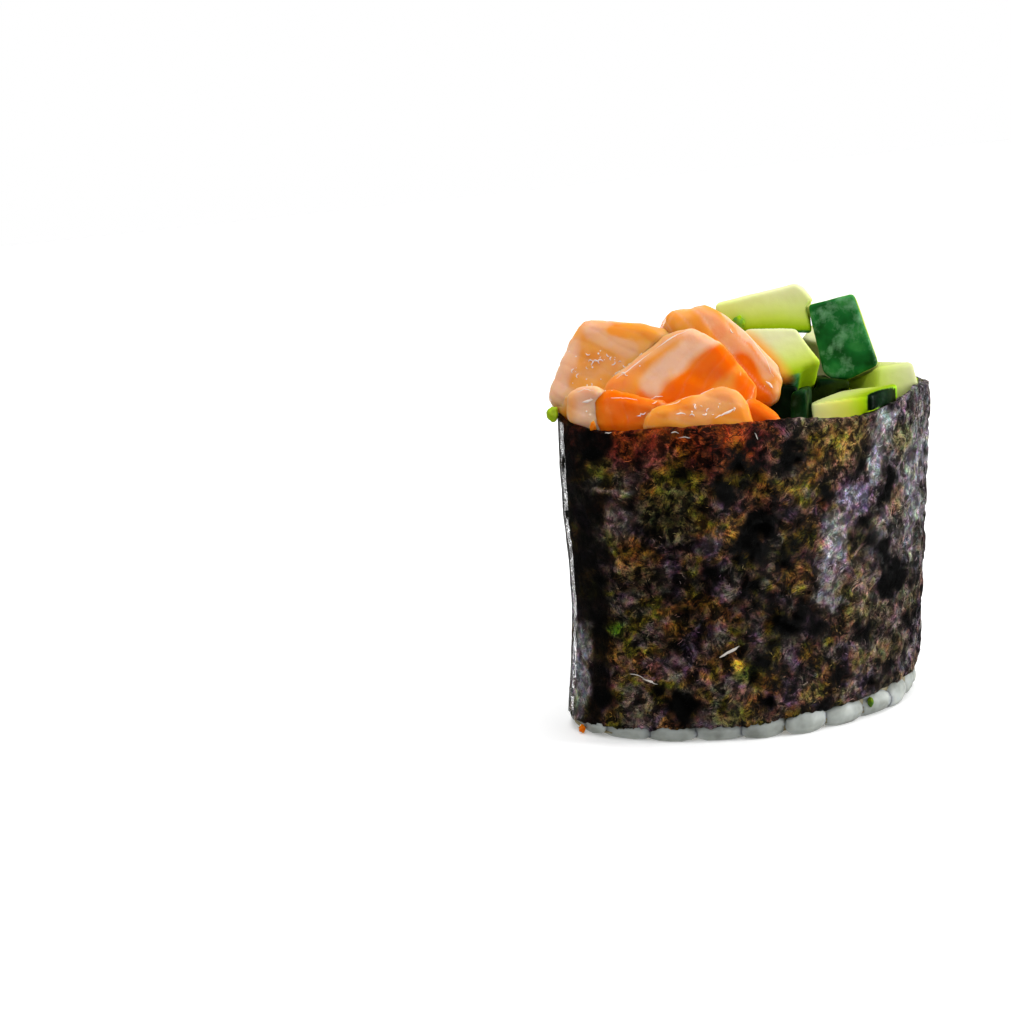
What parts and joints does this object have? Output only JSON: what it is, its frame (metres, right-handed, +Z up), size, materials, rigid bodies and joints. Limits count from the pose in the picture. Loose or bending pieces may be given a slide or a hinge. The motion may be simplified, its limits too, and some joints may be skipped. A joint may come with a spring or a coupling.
{
  "type": "gunkan sushi",
  "caption": "Gunkan sushi: a tall oval roll of rice wrapped in a strip of nori and heaped with chunks of raw salmon and cucumber.",
  "frame": {"origin": "middle of the flat rice foot that the roll stands on", "axes": "+Z up; X along the roll's length, +X at the end with the cucumber; Y across it, -Y the side that faces the viewer"},
  "size_m": [0.0532, 0.0321, 0.0529],
  "materials": {
    "rice": "moist cooked grains",
    "nori": "satin seaweed sheet",
    "salmon": "wet raw fish",
    "cucumber": "wet cut flesh and skin"
  },
  "bodies": {
    "root": {"cucumber_back_left": "cucumber", "cucumber_back_middle": "cucumber", "cucumber_back_right": "cucumber", "cucumber_dark_skin": "cucumber", "cucumber_front": "cucumber", "cucumber_middle": "cucumber", "cucumber_peel_block": "cucumber", "cucumber_peel_strip": "cucumber", "cucumber_right": "cucumber", "cucumber_top_baton": "cucumber", "cucumber_under_middle": "cucumber", "nori": "nori", "rice": "rice", "salmon_back_left": "salmon", "salmon_back_low": "salmon", "salmon_back_right": "salmon", "salmon_centre": "salmon", "salmon_front_left": "salmon", "salmon_front_right": "salmon", "salmon_left_tip": "salmon", "salmon_long_slab": "salmon", "salmon_pale_flake": "salmon", "salmon_wedge": "salmon"}
  },
  "joints": []
}
